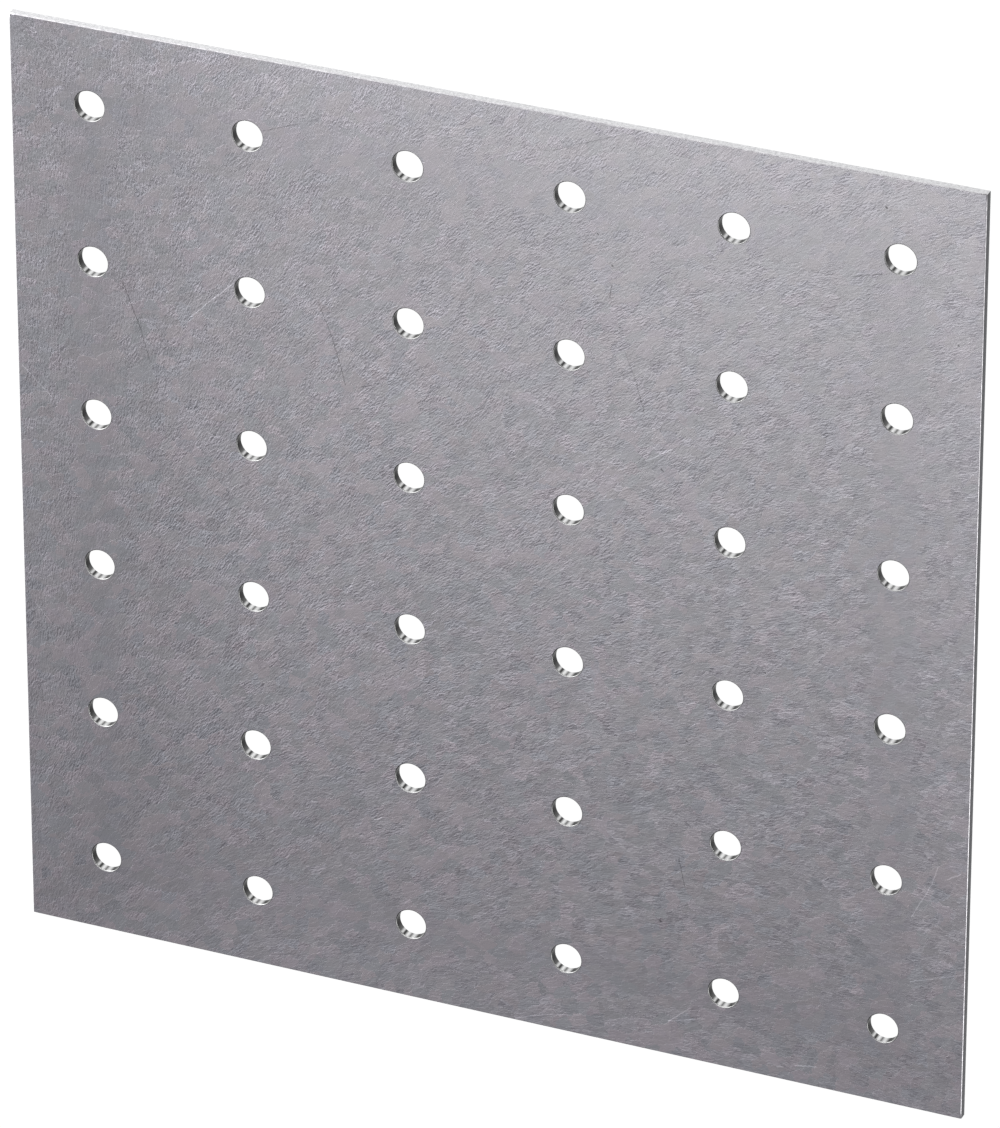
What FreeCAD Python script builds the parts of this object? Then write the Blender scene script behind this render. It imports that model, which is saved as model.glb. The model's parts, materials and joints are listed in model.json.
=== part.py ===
import FreeCAD, Part
import math
import os

import Sketcher

# A flat gusset plate: one square of galvanised steel sheet, sheared to its outline and punched
# with a regular grid of plain round holes for screws or bolts. It lies on its back face, with
# +Z up through its front face and the origin under the centre of the grid.

doc = FreeCAD.newDocument("gusset_plate")

# Driving dimensions, in millimetres
sizes = {
    "sheet_thickness": 2.5,
    "hole_diameter": 8.5,
    "column_pitch": 45.0,
    "row_pitch": 45.0,
    "side_margin": 22.5,
    "end_margin": 22.5,
    "punched_lip": 0.25,
    "sheared_lip": 0.25,
}
# Holes along each side of the grid
counts = {"hole_columns": 6, "hole_rows": 6}


def value_sheet(name, values):
    sheet = doc.addObject("Spreadsheet::Sheet", name)
    for row, (alias, value) in enumerate(values.items(), start=1):
        sheet.set(f"A{row}", alias)
        sheet.set(f"B{row}", str(value))
        sheet.setAlias(f"B{row}", alias)
    return sheet


size_sheet = value_sheet("Sizes", sizes)
count_sheet = value_sheet("Counts", counts)
doc.recompute()

grid_width = "(Counts.hole_columns - 1) * Sizes.column_pitch"
grid_depth = "(Counts.hole_rows - 1) * Sizes.row_pitch"

body = doc.addObject("PartDesign::Body", "Plate")
body.Label = "gusset_plate"
origin = {feature.Role: feature for feature in body.Origin.OriginFeatures}


def sketch_on_back_face(name):
    sketch = body.newObject("Sketcher::SketchObject", name)
    sketch.AttachmentSupport = [(origin["XY_Plane"], "")]
    sketch.MapMode = "FlatFace"
    return sketch


def named_size(sketch, constraint, name, expression):
    index = sketch.addConstraint(constraint)
    sketch.renameConstraint(index, name)
    sketch.setExpression(f"Constraints.{name}", expression)


# Sheared outline: a rectangle held symmetrically about the origin
start, end, origin_point = 1, 2, (-1, 1)
width = (counts["hole_columns"] - 1) * sizes["column_pitch"] + 2 * sizes["side_margin"]
depth = (counts["hole_rows"] - 1) * sizes["row_pitch"] + 2 * sizes["end_margin"]
corners = [
    FreeCAD.Vector(x * width / 2, y * depth / 2, 0)
    for x, y in ((-1, -1), (1, -1), (1, 1), (-1, 1))
]
outline = sketch_on_back_face("Outline")
front, right, back, left = (
    outline.addGeometry(Part.LineSegment(corners[i], corners[(i + 1) % 4])) for i in range(4)
)
for edge, following in ((front, right), (right, back), (back, left), (left, front)):
    outline.addConstraint(Sketcher.Constraint("Coincident", edge, end, following, start))
for edge in (front, back):
    outline.addConstraint(Sketcher.Constraint("Horizontal", edge))
for edge in (right, left):
    outline.addConstraint(Sketcher.Constraint("Vertical", edge))
outline.addConstraint(
    Sketcher.Constraint("Symmetric", front, start, right, end, *origin_point)
)
named_size(
    outline,
    Sketcher.Constraint("DistanceX", front, start, front, end, width),
    "width",
    f"{grid_width} + 2 * Sizes.side_margin",
)
named_size(
    outline,
    Sketcher.Constraint("DistanceY", right, start, right, end, depth),
    "depth",
    f"{grid_depth} + 2 * Sizes.end_margin",
)

blank = body.newObject("PartDesign::Pad", "Blank")
blank.Profile = outline
blank.setExpression("Length", "Sizes.sheet_thickness")
doc.recompute()
blank_volume = blank.Shape.Volume

# First hole, in the corner of the grid at least X and least Y
corner_hole = sketch_on_back_face("CornerHole")
centre = FreeCAD.Vector(sizes["side_margin"] - width / 2, sizes["end_margin"] - depth / 2, 0)
rim = corner_hole.addGeometry(
    Part.Circle(centre, FreeCAD.Vector(0, 0, 1), sizes["hole_diameter"] / 2)
)
rim_centre = (rim, 3)
named_size(
    corner_hole,
    Sketcher.Constraint("Diameter", rim, sizes["hole_diameter"]),
    "diameter",
    "Sizes.hole_diameter",
)
named_size(
    corner_hole,
    Sketcher.Constraint("DistanceX", *rim_centre, *origin_point, -centre.x),
    "from_centre_x",
    f"{grid_width} / 2",
)
named_size(
    corner_hole,
    Sketcher.Constraint("DistanceY", *rim_centre, *origin_point, -centre.y),
    "from_centre_y",
    f"{grid_depth} / 2",
)

punch = body.newObject("PartDesign::Pocket", "Punch")
punch.Profile = corner_hole
punch.Type = "ThroughAll"
punch.Reversed = True
doc.recompute()
one_hole = blank_volume - punch.Shape.Volume

# The grid: the punched hole repeated along the columns and the rows
grid = body.newObject("PartDesign::LinearPattern", "HoleGrid")
grid.Originals = [punch]
grid.Direction = (origin["X_Axis"], [""])
grid.setExpression("Length", grid_width)
grid.setExpression("Occurrences", "Counts.hole_columns")
grid.Direction2 = (origin["Y_Axis"], [""])
grid.setExpression("Length2", grid_depth)
grid.setExpression("Occurrences2", "Counts.hole_rows")
body.Tip = grid
doc.recompute()


def front_edges(feature, curve):
    """Names of a feature's edges of one kind of curve that lie in the plate's front face."""
    face_height = feature.Shape.BoundBox.ZMax
    flat = feature.Shape.BoundBox.ZLength * 1e-6
    return [
        f"Edge{number}"
        for number, edge in enumerate(feature.Shape.Edges, start=1)
        if isinstance(edge.Curve, curve)
        and edge.BoundBox.ZLength < flat
        and abs(edge.BoundBox.ZMax - face_height) < flat
    ]


# Lips on the front face, where the punch and the shear blade entered the sheet: a small flare
# round each hole and a rolled-in edge along the outline
punched_lip = body.newObject("PartDesign::Chamfer", "PunchedLip")
punched_lip.Base = (grid, front_edges(grid, Part.Circle))
punched_lip.setExpression("Size", "Sizes.punched_lip")
body.Tip = punched_lip
doc.recompute()

sheared_lip = body.newObject("PartDesign::Fillet", "ShearedLip")
sheared_lip.Base = (punched_lip, front_edges(punched_lip, Part.Line))
sheared_lip.setExpression("Radius", "Sizes.sheared_lip")
body.Tip = sheared_lip
doc.recompute()

# Checks before anything is written
failed = [item.Name for item in doc.Objects if {"Invalid", "Error"} & set(item.State)]
if failed:
    raise RuntimeError(f"features failed: {failed}")
if body.Shape.isNull() or not body.Shape.isValid() or len(body.Shape.Solids) != 1:
    raise RuntimeError("the plate is not one valid solid")
hole_count = count_sheet.hole_columns * count_sheet.hole_rows
hole_volume = math.pi * size_sheet.hole_diameter**2 / 4 * size_sheet.sheet_thickness
if not math.isclose(one_hole, hole_volume, rel_tol=1e-6):
    raise RuntimeError("the punch did not go through the sheet")
if not math.isclose(grid.Shape.Volume, blank_volume - hole_count * hole_volume, rel_tol=1e-6):
    raise RuntimeError("the grid does not have all its holes")
if not sheared_lip.Shape.Volume < punched_lip.Shape.Volume < grid.Shape.Volume:
    raise RuntimeError("a lip was not rolled in")

os.makedirs("parts", exist_ok=True)
body.Shape.exportStep(f"parts/{body.Label}.step")
box = body.Shape.BoundBox
print(f"{body.Label}: {box.XLength:.3f} x {box.YLength:.3f} x {box.ZLength:.3f} mm")
print(f"{hole_count} holes, {body.Shape.Volume:.1f} cubic millimetres")
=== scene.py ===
import json
import math

import bmesh
import bpy
from mathutils import Euler, Matrix, Vector


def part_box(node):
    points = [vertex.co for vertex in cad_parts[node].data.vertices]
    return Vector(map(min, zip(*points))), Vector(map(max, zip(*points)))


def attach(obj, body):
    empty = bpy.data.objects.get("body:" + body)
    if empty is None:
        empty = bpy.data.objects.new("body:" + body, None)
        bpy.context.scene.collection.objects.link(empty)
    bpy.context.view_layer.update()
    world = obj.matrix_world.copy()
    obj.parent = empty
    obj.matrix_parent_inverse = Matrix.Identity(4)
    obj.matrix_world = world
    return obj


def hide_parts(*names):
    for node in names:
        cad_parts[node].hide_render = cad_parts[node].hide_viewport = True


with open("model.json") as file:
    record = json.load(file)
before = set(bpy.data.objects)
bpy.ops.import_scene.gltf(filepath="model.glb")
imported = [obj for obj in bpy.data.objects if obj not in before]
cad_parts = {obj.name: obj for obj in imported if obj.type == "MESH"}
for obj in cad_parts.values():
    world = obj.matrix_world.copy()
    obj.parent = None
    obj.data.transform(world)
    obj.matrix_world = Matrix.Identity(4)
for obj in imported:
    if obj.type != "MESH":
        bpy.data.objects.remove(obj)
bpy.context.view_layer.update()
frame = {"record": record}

# Punched sheet
# One square of continuously galvanised steel sheet, sheared to its outline and punched in a
# press with a square grid of round holes. The tools leave a small rolled-in lip on the front.
low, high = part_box("gusset_plate")
thickness = high.z - low.z
bores = [mount for mount in frame["record"]["mounts"] if mount["kind"] == "bore"]
bore_radius = bores[0]["dims"]["r_mm"] / 1000
lip = thickness - bores[0]["dims"]["length_mm"] / 1000
columns = sorted({mount["pos_m"][0] for mount in bores})
pitch = columns[1] - columns[0]
rim_segments = 96
lip_segments = 3
weld_distance = lip / 100

# One square of the grid, as a ring of faces from the rim of a bore to the square's border
bm = bmesh.new()
bmesh.ops.create_circle(bm, radius=bore_radius, segments=rim_segments)
rim = set(bm.edges)
bmesh.ops.create_circle(
    bm, radius=pitch / math.sqrt(2), segments=4, matrix=Matrix.Rotation(math.radians(45), 4, "Z")
)
border = [edge for edge in bm.edges if edge not in rim]
bmesh.ops.subdivide_edges(bm, edges=border, cuts=rim_segments // 4 - 1)
bmesh.ops.bridge_loops(bm, edges=bm.edges[:])

# The same square set round every bore and welded to its neighbours
pattern = bm.verts[:]
square = pattern + bm.edges[:] + bm.faces[:]
for bore in bores:
    copy = bmesh.ops.duplicate(bm, geom=square)["geom"]
    copied = [item for item in copy if isinstance(item, bmesh.types.BMVert)]
    bmesh.ops.translate(bm, verts=copied, vec=(bore["pos_m"][0], bore["pos_m"][1], low.z))
bmesh.ops.delete(bm, geom=pattern, context="VERTS")
bmesh.ops.remove_doubles(bm, verts=bm.verts[:], dist=weld_distance)

# The back face drawn up through the sheet's thickness to make the front, whose rims get their lips
raised = bmesh.ops.extrude_face_region(bm, geom=bm.faces[:], use_keep_orig=True)["geom"]
raised = [item for item in raised if isinstance(item, bmesh.types.BMVert)]
bmesh.ops.translate(bm, verts=raised, vec=(0, 0, thickness))
bmesh.ops.recalc_face_normals(bm, faces=bm.faces[:])

# Flatness is 1 on the sheet's two faces, 0 on its walls, and in between on the lips
wall_flatness, face_flatness = 0.02, 0.98
middle = low.z + thickness / 2
front_rims = [
    edge
    for edge in bm.edges
    if all(vert.co.z > middle for vert in edge.verts)
    and any(abs(face.normal.z) < wall_flatness for face in edge.link_faces)
]
bmesh.ops.bevel(
    bm,
    geom=front_rims,
    offset=lip,
    offset_type="OFFSET",
    segments=lip_segments,
    profile=0.5,
    affect="EDGES",
    material=-1,
)

# Each face gets the number of its finish, in the order in which the finishes are made below
coated, sheared_lip, mill_edge, cut_edge, punched_lip, bore_wall = range(6)
sharpest_smooth_edge = math.radians(60)
for face in bm.faces:
    flatness = abs(face.normal.z)
    face.smooth = flatness < face_flatness
    centre = face.calc_center_median()
    on_lip = flatness > wall_flatness
    if flatness > face_flatness:
        face.material_index = coated
    elif high.y - abs(centre.y) < lip:
        face.material_index = sheared_lip if on_lip else mill_edge
    elif high.x - abs(centre.x) < lip:
        face.material_index = sheared_lip if on_lip else cut_edge
    else:
        face.material_index = punched_lip if on_lip else bore_wall
for edge in bm.edges:
    if edge.calc_face_angle(0) > sharpest_smooth_edge:
        edge.smooth = False

plate_mesh = bpy.data.meshes.new("punched_sheet")
bm.to_mesh(plate_mesh)
bm.free()
plate = bpy.data.objects.new("punched_sheet", plate_mesh)
bpy.context.collection.objects.link(plate)
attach(plate, "root")
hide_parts("gusset_plate")


# Building blocks of the finishes. The plain colour stands in where the nodes that vary it aren't read.
def new_finish(name, plain, roughness):
    finish = bpy.data.materials.new(name)
    finish.use_nodes = True
    shader = finish.node_tree.nodes["Principled BSDF"]
    shader.inputs["Base Color"].default_value = (*plain, 1)
    shader.inputs["Metallic"].default_value = 1.0
    shader.inputs["Roughness"].default_value = roughness
    plate_mesh.materials.append(finish)
    return finish.node_tree, shader


def add_node(tree, kind, settings, inputs):
    node = tree.nodes.new("ShaderNode" + kind)
    for name, value in settings.items():
        setattr(node, name, value)
    for name, value in inputs.items():
        if isinstance(value, bpy.types.NodeSocket):
            tree.links.new(value, node.inputs[name])
        else:
            node.inputs[name].default_value = value
    return node


def reckon(tree, operation, *values):
    return add_node(tree, "Math", {"operation": operation}, dict(enumerate(values))).outputs["Value"]


def reckon_vector(tree, operation, *values):
    return add_node(tree, "VectorMath", {"operation": operation}, dict(enumerate(values))).outputs["Vector"]


def dot(tree, one, other):
    return add_node(tree, "VectorMath", {"operation": "DOT_PRODUCT"}, {0: one, 1: other}).outputs["Value"]


def product(tree, result, *factors):
    for factor in factors:
        result = reckon(tree, "MULTIPLY", result, factor)
    return result


def between(tree, share, at_none, at_full):
    return reckon(tree, "MULTIPLY_ADD", share, at_full - at_none, at_none)


def ease(tree, value, start, end, at_start=0.0, at_end=1.0):
    inputs = {"Value": value, "From Min": start, "From Max": end, "To Min": at_start, "To Max": at_end}
    return add_node(tree, "MapRange", {"interpolation_type": "SMOOTHSTEP"}, inputs).outputs["Result"]


def noise(tree, place, per_mm, detail, roughness=0.5, dimensions="2D", output="Fac"):
    inputs = {"Vector": place, "Scale": per_mm, "Detail": detail, "Roughness": roughness}
    return add_node(tree, "TexNoise", {"noise_dimensions": dimensions}, inputs).outputs[output]


def cells(tree, place, per_mm):
    inputs = {"Vector": place, "Scale": per_mm}
    return add_node(tree, "TexVoronoi", {"voronoi_dimensions": "2D"}, inputs).outputs


def tint(tree, amount, under, over):
    # Places of the colour sockets among the Mix node's sockets for every kind of value
    first_colour, second_colour, mixed_colour = 6, 7, 2
    inputs = {"Factor": amount, first_colour: under, second_colour: over}
    return add_node(tree, "Mix", {"data_type": "RGBA"}, inputs).outputs[mixed_colour]


def millimetres(tree):
    coordinate = tree.nodes.new("ShaderNodeTexCoord").outputs["Object"]
    return reckon_vector(tree, "MULTIPLY", coordinate, (1000, 1000, 1000))


def split(tree, vector):
    return add_node(tree, "SeparateXYZ", {}, {"Vector": vector}).outputs


# Zinc coat on both faces: grey metal whose skin has broken into thin flakes with jagged outlines,
# each a little higher, pinker or duller than the next. Its lengths are in millimetres.
zinc_grey = (0.452, 0.440, 0.474)
zinc_pink = (0.490, 0.457, 0.493)
zinc_slate = (0.432, 0.434, 0.469)
zinc_roughness = 0.56
tree, shader = new_finish("galvanised_zinc", zinc_grey, zinc_roughness)
half_side = high.x * 1000
place = millimetres(tree)
across, up, _ = split(tree, place)

jags_per_mm = 0.8
flake_jag = 1.7
stroke_jag = 0.45
jag = noise(tree, place, jags_per_mm, detail=1.0, output="Color")
jag = reckon_vector(tree, "SUBTRACT", jag, (0.5, 0.5, 0.5))
jagged_place = reckon_vector(tree, "MULTIPLY_ADD", jag, (flake_jag, flake_jag, 0), place)
stroke_place = reckon_vector(tree, "MULTIPLY_ADD", jag, (stroke_jag, stroke_jag, 0), place)


def along_ridges(tree, place, ridge_angle, stretch):
    turned = add_node(
        tree,
        "VectorRotate",
        {"rotation_type": "Z_AXIS", "invert": True},
        {"Vector": place, "Angle": ridge_angle},
    )
    return reckon_vector(tree, "MULTIPLY", turned.outputs["Vector"], (stretch, 1, 1))


# Grain and thin chips are drawn out along ridges. The ridges keep one direction within each patch of
# the skin, and climb more steeply towards the left and the top.
patches_per_mm = 1 / 18
least_climb, most_climb = math.radians(27), math.radians(47)
climb_to_top = math.radians(22)
climb_to_right = math.radians(-33)
climb_at_far_left = math.radians(20)
far_left_ends = -0.45 * half_side
stroke_stretch = 0.38
flake_angle, flake_stretch = math.radians(30), 0.75
patches = cells(tree, jagged_place, patches_per_mm)
patch_across, patch_up, _ = split(tree, patches["Position"])
patch_chance, _, _ = split(tree, patches["Color"])
ridge_angle = between(tree, patch_chance, least_climb, most_climb)
ridge_angle = reckon(tree, "MULTIPLY_ADD", patch_up, climb_to_top / half_side, ridge_angle)
ridge_angle = reckon(tree, "MULTIPLY_ADD", patch_across, climb_to_right / half_side, ridge_angle)
far_left = ease(tree, patch_across, -half_side, far_left_ends, climb_at_far_left, 0.0)
ridge_angle = reckon(tree, "ADD", ridge_angle, far_left)
ridge_place = along_ridges(tree, stroke_place, ridge_angle, stroke_stretch)
flake_place = along_ridges(tree, jagged_place, flake_angle, flake_stretch)


def flakes(tree, place, per_mm, lean, step):
    """Height of a layer of leaning flakes, and three chances between 0 and 1 for each flake."""
    first_raised, fully_raised = 0.5, 0.95
    flake = cells(tree, place, per_mm)
    chances = flake["Color"]
    slope = reckon_vector(tree, "MULTIPLY_ADD", chances, (lean, lean, 0), (-lean / 2, -lean / 2, 0))
    from_middle = reckon_vector(tree, "SUBTRACT", place, flake["Position"])
    cast, shade, hue = split(tree, chances)
    lift = ease(tree, hue, first_raised, fully_raised, 0.0, step)
    return reckon(tree, "ADD", lift, dot(tree, from_middle, slope)), cast, shade, hue


# Layers of the skin: fine grain, which is stronger towards the upper left, small chips, flakes, and a
# few bold flakes that stand out, raised, smooth and pink
grain_per_mm, chips_per_mm, flakes_per_mm, bold_flakes_per_mm = 2.2, 1.15, 0.33, 0.26
weak_grain, strong_grain = 0.03, 0.065
weak_grain_at, strong_grain_at = -1.2 * half_side, 0.8 * half_side
chip_lean, chip_step = 0.055, 0.14
flake_lean, flake_step = 0.012, 0.16
last_plain_flake, first_bold_flake, bold_step = 0.85, 0.86, 0.15
to_upper_left = reckon(tree, "SUBTRACT", up, across)
grain_height = ease(tree, to_upper_left, weak_grain_at, strong_grain_at, weak_grain, strong_grain)
grain = noise(tree, ridge_place, grain_per_mm, detail=1.0)
chips, _, _, chip_hue = flakes(tree, ridge_place, chips_per_mm, chip_lean, chip_step)
skin = reckon(tree, "MULTIPLY_ADD", grain, grain_height, chips)
large_flakes, cast, shade, hue = flakes(tree, flake_place, flakes_per_mm, flake_lean, flake_step)
skin = reckon(tree, "ADD", large_flakes, skin)
_, _, bold_hue = split(tree, cells(tree, flake_place, bold_flakes_per_mm)["Color"])
bold_flake = ease(tree, bold_hue, last_plain_flake, first_bold_flake)
skin = reckon(tree, "MULTIPLY_ADD", bold_flake, bold_step, skin)

# Relief is shallower in smooth patches, in a band round the outer holes, towards the bottom and in the
# upper right and lower left corners. The bump's distance sets its depth in metres, and its strength
# keeps the flanks of the flakes from growing steep.
clouds_per_mm = 0.14
smooth_cloud, rough_cloud = 0.35, 0.5
steepest = 0.25
shallow, deep = 0.0011 / steepest, 0.0015 / steepest
band_starts, band_full, band_fades, band_ends = 14, 18, 26, 30
bottom_ends = -0.5 * half_side
band_depth, bottom_depth, bold_depth = 0.45, 0.8, 0.4
least_flake_depth, most_flake_depth = 0.5, 1.5
middle_depth, corner_loss = 1.08, 0.38
reach = reckon(tree, "MAXIMUM", reckon(tree, "ABSOLUTE", across), reckon(tree, "ABSOLUTE", up))
margin = reckon(tree, "SUBTRACT", half_side, reach)
into_band = ease(tree, margin, band_starts, band_full)
band = product(tree, into_band, ease(tree, margin, band_fades, band_ends, 1.0, 0.0))
clouds = noise(tree, place, clouds_per_mm, detail=3.0)
corner = reckon(tree, "MULTIPLY", across, up)
depth = product(
    tree,
    ease(tree, clouds, smooth_cloud, rough_cloud, shallow, deep),
    between(tree, band, 1.0, band_depth),
    ease(tree, up, -half_side, bottom_ends, bottom_depth, 1.0),
    reckon(tree, "MULTIPLY_ADD", corner, -corner_loss / half_side**2, middle_depth),
    between(tree, cast, least_flake_depth, most_flake_depth),
    between(tree, bold_flake, 1.0, bold_depth),
)
bump = add_node(tree, "Bump", {}, {"Height": skin, "Strength": steepest, "Distance": depth})
tree.links.new(bump.outputs["Normal"], shader.inputs["Normal"])

# Colour of the flakes, large and small, harder to see towards the upper right corner
green_cast, lilac_cast = (1.0, 1.005, 0.988, 1), (1.0, 0.997, 1.012, 1)
vivid_until, faint_from, faintest = -0.3 * half_side, 1.2 * half_side, 0.4
cloud_pull = 0.25
full_slate, last_slate, first_pink, full_pink = 0.1, 0.35, 0.66, 1.0
last_grey_chip, first_pink_chip, chip_pinkness = 0.82, 0.87, 0.25
to_upper_right = reckon(tree, "MULTIPLY_ADD", across, 0.5, up)
vividness = ease(tree, to_upper_right, vivid_until, faint_from, 1.0, faintest)
pinkness = reckon(tree, "ADD", hue, between(tree, clouds, -cloud_pull, cloud_pull))
pink_chip = product(tree, ease(tree, chip_hue, last_grey_chip, first_pink_chip), chip_pinkness)
pink = reckon(tree, "MAXIMUM", ease(tree, pinkness, first_pink, full_pink), pink_chip)
pink = product(tree, reckon(tree, "MAXIMUM", pink, bold_flake), vividness)
slate = product(tree, ease(tree, pinkness, full_slate, last_slate, 1.0, 0.0), vividness)
colour = tint(tree, pink, (*zinc_grey, 1), (*zinc_pink, 1))
colour = tint(tree, slate, colour, (*zinc_slate, 1))
colour = reckon_vector(tree, "MULTIPLY", colour, tint(tree, cast, green_cast, lilac_cast))

# Scratches, cracks and pits from handling: the places of both ends from the middle of the plate, the
# width, and how much lighter or darker than the coat each of them is
marks = (
    (-104.4, 64.3, -99, 50.4, 0.25, -0.3),
    (-99, 50.4, -96.5, 41.3, 0.25, -0.25),
    (-48, 68.7, -44, 59, 0.2, -0.25),
    (-44, 59, -40.3, 46, 0.25, -0.3),
    (-72, 69.3, -77.3, 64.3, 0.25, 0.3),
    (-77.3, 64.3, -84.5, 57, 0.3, 0.35),
    (-134, 33, -125.4, 25, 0.25, 0.3),
    (-63, 114.8, -53.3, 118.7, 0.25, -0.25),
    (10.6, 123.7, 18, 124.8, 0.2, -0.15),
    (18, 124.8, 26, 128.3, 0.25, -0.2),
    (26, 128.3, 35, 132, 0.25, -0.25),
    (38, 71.5, 40.9, 64.3, 0.25, -0.15),
    (40.9, 64.3, 43.5, 55, 0.25, -0.25),
    (44.2, 41.3, 51, 46, 0.3, 0.3),
    (99.5, 105.2, 107.7, 107.6, 0.35, -0.25),
    (33.7, 86, 34.2, 89.8, 0.3, -0.3),
    (-93.7, -14.4, -95.6, -23, 0.15, -0.2),
    (-131.6, -38.5, -127.3, -43.3, 0.3, 0.25),
    (-68.7, -80.8, -62, -74, 0.25, 0.25),
    (-33, -82.7, -30.7, -81.5, 0.3, 0.45),
    (-24.4, -106.3, -14.8, -99, 0.25, 0.25),
    (-16.3, -16.8, -8, -9.6, 0.25, 0.25),
    (-40.8, -16.3, -37.9, -10, 0.25, 0.3),
    (-131.6, -94.7, -127.8, -88, 0.25, 0.25),
    (22.6, -100.2, 34.6, -97.6, 0.25, 0.3),
    (7.7, -134.4, 16.3, -131.3, 0.25, 0.35),
    (16.3, -131.3, 26.9, -129, 0.25, 0.3),
    (51.9, -125, 58.2, -119.2, 0.25, 0.3),
    (51.9, -124.8, 62.5, -121.6, 0.25, 0.35),
    (87, -130, 94.2, -128.8, 0.3, 0.4),
    (119.7, -77, 125, -66.3, 0.25, 0.3),
    (125, -66.3, 126.7, -60.6, 0.25, 0.25),
    (129.3, -63.5, 133.2, -61, 0.3, 0.35),
    (119.7, -96.6, 134, -91.3, 0.25, 0.3),
    (65.4, -61.5, 71.6, -53.8, 0.2, 0.2),
    (74, -63.9, 79.8, -59.6, 0.25, 0.25),
    (59.6, -98, 69.2, -91.3, 0.25, 0.25),
    (54.3, -74, 56.2, -82.7, 0.25, -0.25),
    (84.6, -63.7, 89.9, -62.7, 0.3, 0.35),
    (57.2, -34, 60, -32.2, 0.3, 0.35),
    (32.2, -90, 34.1, -88.7, 0.3, 0.4),
    (48.3, 39.9, 48.9, 39.2, 0.35, -0.4),
    (108.2, 126.4, 108.7, 126, 0.45, -0.45),
    (128.2, 91.9, 128.7, 91.5, 0.35, -0.35),
    (30.1, 103.8, 30.6, 103.4, 0.4, -0.4),
    (34.2, 95.6, 34.7, 95.2, 0.4, -0.4),
    (56, -38.5, 56.5, -38.9, 0.4, -0.45),
    (49.1, -94.4, 49.6, -94.8, 0.4, -0.4),
    (77.6, -13.3, 78.1, -13.7, 0.4, -0.4),
)
wear = 0.0
for start_x, start_y, end_x, end_y, width, change in marks:
    run = Vector((end_x - start_x, end_y - start_y, 0)) / 2
    centre = Vector((start_x, start_y, 0)) + run
    along = run.normalized()
    aside = Vector((-along.y, along.x, 0))
    mark = change
    for axis, extent in ((along, run.length), (aside, width / 2)):
        within = reckon(tree, "COMPARE", dot(tree, stroke_place, axis), centre.dot(axis), extent)
        mark = reckon(tree, "MULTIPLY", within, mark)
    wear = reckon(tree, "ADD", mark, wear)

# The coat is darkened towards the left by painted shade and lightened along the margins by a painted
# highlight, each flake has its own shade, and the marks stand out from it
painted_left_shade, painted_shade_ends = 0.87, -0.35 * half_side
painted_margin_highlight, highlight_starts = 1.07, 0.8 * half_side
light_flake, dark_flake, bold_light = 0.038, -0.042, 0.015
mark_strength = 1.3
flake_shade = between(tree, shade, light_flake, dark_flake)
flake_shade = reckon(tree, "MULTIPLY_ADD", bold_flake, bold_light, flake_shade)
tone_and_painted_light = product(
    tree,
    ease(tree, across, -half_side, painted_shade_ends, painted_left_shade, 1.0),
    ease(tree, reach, highlight_starts, half_side, 1.0, painted_margin_highlight),
    reckon(tree, "MULTIPLY_ADD", flake_shade, vividness, 1.0),
    reckon(tree, "MULTIPLY_ADD", wear, mark_strength, 1.0),
)
tree.links.new(reckon_vector(tree, "MULTIPLY", colour, tone_and_painted_light), shader.inputs["Base Color"])


def mottled_zinc(name, plain, roughness, mottles_per_mm, dull, bright):
    last_dull, first_bright = 0.3, 0.7
    tree, shader = new_finish(name, plain, roughness)
    mottles = noise(tree, millimetres(tree), mottles_per_mm, detail=3.0, roughness=0.6, dimensions="3D")
    colour = tint(tree, ease(tree, mottles, last_dull, first_bright), (*dull, 1), (*bright, 1))
    tree.links.new(colour, shader.inputs["Base Color"])


# Lip rolled in by the shear round the outline, where the coat is smeared bright
mottled_zinc(
    "smeared_zinc_lip",
    plain=(0.42, 0.41, 0.43),
    roughness=0.45,
    mottles_per_mm=0.9,
    dull=(0.42, 0.41, 0.43),
    bright=(0.63, 0.62, 0.64),
)

# Upper and lower edges, coated with the strip before it was cut: bright and faintly speckled
mottled_zinc(
    "coated_mill_edge",
    plain=(0.55, 0.55, 0.56),
    roughness=0.5,
    mottles_per_mm=1.2,
    dull=(0.46, 0.46, 0.47),
    bright=(0.63, 0.63, 0.64),
)

# Side edges, sheared to length: bare steel with short marks across the sheet, made dark by painted shade
bare_steel_with_painted_shade = (0.08, 0.08, 0.085)
dull_score_painted_shade, bright_score_painted_shade = (0.03, 0.03, 0.033), (0.13, 0.13, 0.14)
scores_per_mm, score_stretch = 0.8, 0.25
tree, shader = new_finish("sheared_edge_painted_shade", bare_steel_with_painted_shade, roughness=0.45)
sheared_place = reckon_vector(tree, "MULTIPLY", millimetres(tree), (1.0, 1.0, score_stretch))
scores = noise(tree, sheared_place, scores_per_mm, detail=4.0, roughness=0.65, dimensions="3D")
painted_shade_scores = tint(tree, scores, (*dull_score_painted_shade, 1), (*bright_score_painted_shade, 1))
tree.links.new(painted_shade_scores, shader.inputs["Base Color"])

# Bores, bare steel burnished by the punch. Their colour is painted light, the same in every bore:
# bright painted highlights on the lower left of the lips, painted reflections streaking the lower walls
# and painted shade on the left walls, given here by angle from the plate's right and brightness
painted_lip_light = (
    (20, 0.12), (90, 0.2), (150, 0.08), (165, 0.15), (185, 0.35), (215, 0.5), (250, 0.6), (270, 0.42),
    (285, 0.16), (300, 0.07), (330, 0.07),
)
painted_wall_light = (
    (20, 0.35), (50, 0.1), (80, 0.4), (105, 0.1), (125, 0.2), (150, 0.018), (186, 0.015), (200, 0.035),
    (215, 0.1), (221, 0.13), (228, 0.6), (231, 0.68), (236, 0.07), (241, 0.05), (249, 0.82), (254, 0.78),
    (262, 0.13), (271, 0.72), (277, 0.7), (289, 0.045), (298, 0.02), (310, 0.06), (330, 0.3), (345, 0.12),
)


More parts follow.
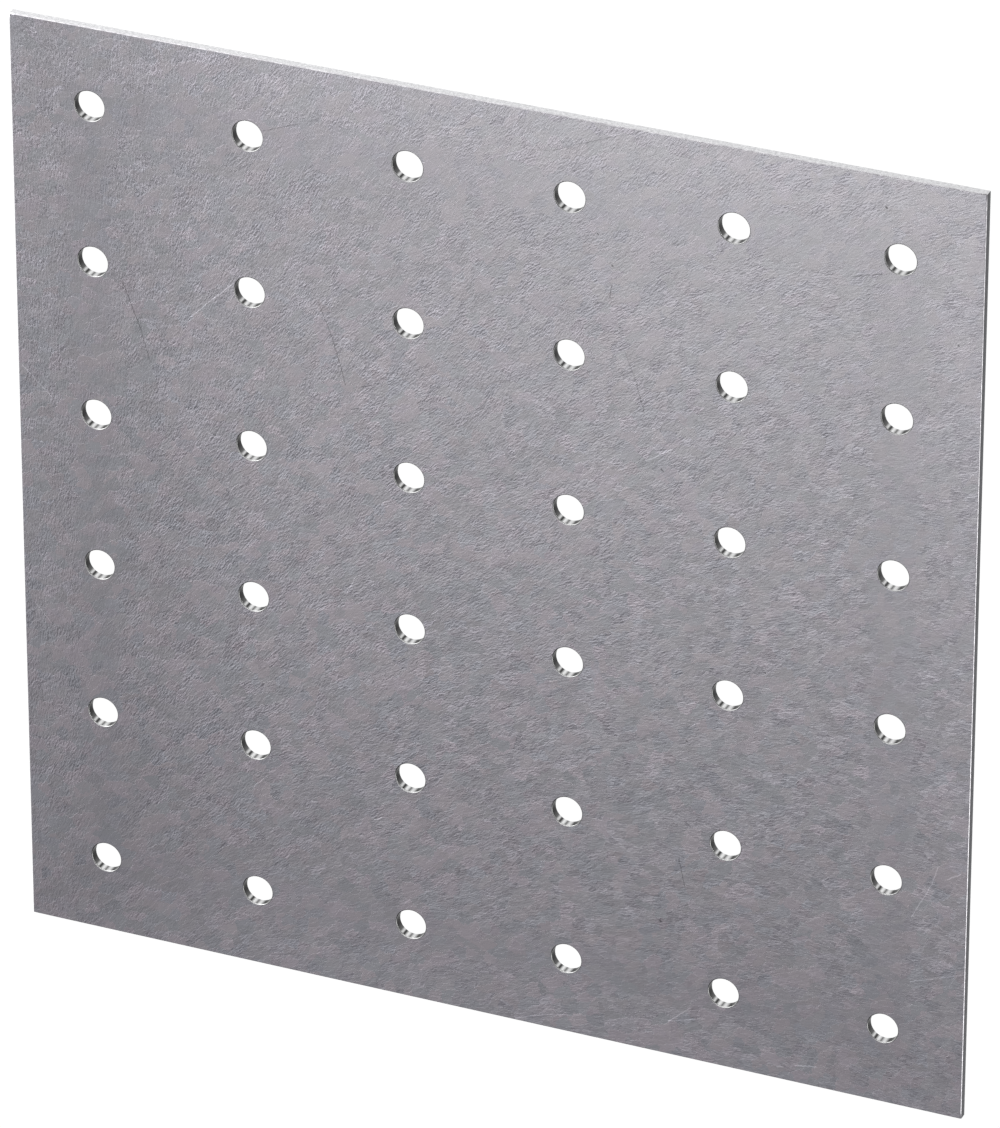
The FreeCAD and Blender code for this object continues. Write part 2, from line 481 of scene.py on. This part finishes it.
def steel_with_painted_light(name, painted_brightness, roughness):
    burnished_grey = (0.4, 0.4, 0.4)
    tree, shader = new_finish(name, burnished_grey, roughness)
    grid_place = reckon_vector(tree, "MULTIPLY", millimetres(tree), (0.001 / pitch,) * 3)
    across, up, _ = split(tree, reckon_vector(tree, "FRACTION", grid_place))
    bore_x, bore_y = (reckon(tree, "SUBTRACT", value, 0.5) for value in (across, up))
    angle = reckon(tree, "ARCTAN2", bore_y, bore_x)
    turns = reckon(tree, "FRACT", reckon(tree, "DIVIDE", angle, math.tau))
    # The ramp paints reflections and shade by angle round each bore
    ramp = add_node(tree, "ValToRGB", {}, {"Fac": turns})
    stops = ramp.color_ramp.elements
    stops.remove(stops[1])
    for degrees, brightness in painted_brightness:
        stops.new(degrees / 360).color = (brightness, brightness, brightness, 1)
    stops.remove(stops[0])
    tree.links.new(ramp.outputs["Color"], shader.inputs["Base Color"])


steel_with_painted_light("lip_with_painted_light", painted_lip_light, roughness=0.5)
steel_with_painted_light("bore_wall_with_painted_light", painted_wall_light, roughness=0.35)

# Studio floor
# A plain white light table, which shows white through the holes and lights the edges from below.
# The plate lies on it a hair's breadth clear, so that the two surfaces don't coincide.
floor_reach = 3.0
floor_gap = 2e-5
floor_mesh = bpy.data.meshes.new("floor")
bm = bmesh.new()
bmesh.ops.create_grid(bm, x_segments=1, y_segments=1, size=floor_reach)
bmesh.ops.translate(bm, verts=bm.verts[:], vec=(0, 0, low.z - floor_gap))
bm.to_mesh(floor_mesh)
bm.free()
floor = bpy.data.objects.new("floor", floor_mesh)
bpy.context.collection.objects.link(floor)
table = bpy.data.materials.new("white_table")
table.use_nodes = True
table_shader = table.node_tree.nodes["Principled BSDF"]
table_shader.inputs["Base Color"].default_value = (0.02, 0.02, 0.02, 1)
table_shader.inputs["Roughness"].default_value = 0.9
table_shader.inputs["Emission Color"].default_value = (1, 1, 1, 1)
table_shader.inputs["Emission Strength"].default_value = 1.0
table.cycles.emission_sampling = "NONE"
floor_mesh.materials.append(table)

# Studio light
# A lamp overhead brightens the plate towards its upper edge, a low lamp from the left rakes across
# the relief, and a weak one from the right picks out the lips. The pale room fills the shadows.
world = bpy.data.worlds.new("studio")
world.use_nodes = True
room = world.node_tree.nodes["Background"]
room.inputs["Color"].default_value = (1.05, 1, 1.15, 1)
room.inputs["Strength"].default_value = 0.105
world.cycles.sampling_method = "NONE"
bpy.context.scene.world = world
lamp_width = 0.06


def lamp(name, place, colour, power):
    light = bpy.data.lights.new(name, "AREA")
    light.shape = "DISK"
    light.size = lamp_width
    light.color = colour
    light.energy = power
    holder = bpy.data.objects.new(name, light)
    holder.location = place
    holder.rotation_euler = Vector(place).to_track_quat("Z", "Y").to_euler()
    holder.visible_camera = False
    bpy.context.collection.objects.link(holder)


lamp("key_lamp", (-0.03, 0.013, 0.479), (0.985, 1, 0.955), 0.6)
lamp("raking_lamp", (-1.431, 0.679, 0.223), (1, 1, 1), 126)
lamp("rim_lamp", (1.058, -0.611, 0.445), (1, 1, 1), 7)

# Camera
# A long lens looking down on the plate from its upper right, as the photograph does.
# It is turned so that the plate's own upper edge is at the top of the picture.
view_turn = Euler((math.radians(-28.42), math.radians(23.24), math.radians(0.03)))
view_distance = 2.3976
view_target = Vector((0.0033, 0.0025, high.z))
camera_data = bpy.data.cameras.new("camera")
camera_data.lens = 294.0
camera_data.sensor_width = 36
camera = bpy.data.objects.new("camera", camera_data)
camera.rotation_euler = view_turn
camera.location = view_target + view_turn.to_matrix() @ Vector((0, 0, view_distance))
bpy.context.collection.objects.link(camera)
bpy.context.scene.camera = camera
bpy.context.scene.view_settings.view_transform = "Standard"
